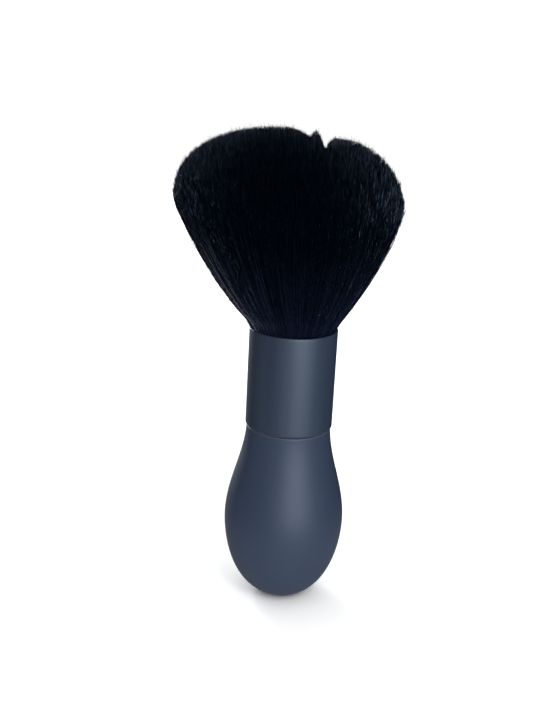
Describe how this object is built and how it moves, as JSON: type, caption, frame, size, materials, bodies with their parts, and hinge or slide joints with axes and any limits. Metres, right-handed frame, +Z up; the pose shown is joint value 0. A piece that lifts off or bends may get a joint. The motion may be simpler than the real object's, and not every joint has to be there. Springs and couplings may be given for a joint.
{
  "type": "neck duster brush",
  "caption": "Barber's neck duster brush: a wide domed tuft of soft dark bristles in a metal ferrule on an egg-shaped soft-touch grip, for brushing clippings off the neck.",
  "frame": {"origin": "centre of the flat foot that the brush stands on", "axes": "+Z up along the ferrule's axis towards the bristle tips, -Y to the front, +X to the front view's right; the tuft leans towards -X"},
  "size_m": [0.0821, 0.0822, 0.1801],
  "materials": {
    "soft_touch": "matte",
    "core_plastic": "matte",
    "weight_steel": "satin",
    "retainer_plastic": "matte",
    "ferrule_metal": "satin",
    "cured_glue": "gloss",
    "fibre_board": "matte",
    "cast_resin": "gloss",
    "binding_cord": "matte",
    "bristles": "matte"
  },
  "bodies": {
    "root": {"grip_skin": "soft_touch", "handle_core_lower": "core_plastic", "handle_core_upper": "core_plastic", "balance_weight": "weight_steel", "weight_retainer": "retainer_plastic", "ferrule": "ferrule_metal", "bond_ring": "cured_glue", "resin_dam": "fibre_board", "resin_plug": "cast_resin", "root_binding": "binding_cord", "bristle_tuft": "bristles"}
  },
  "joints": []
}
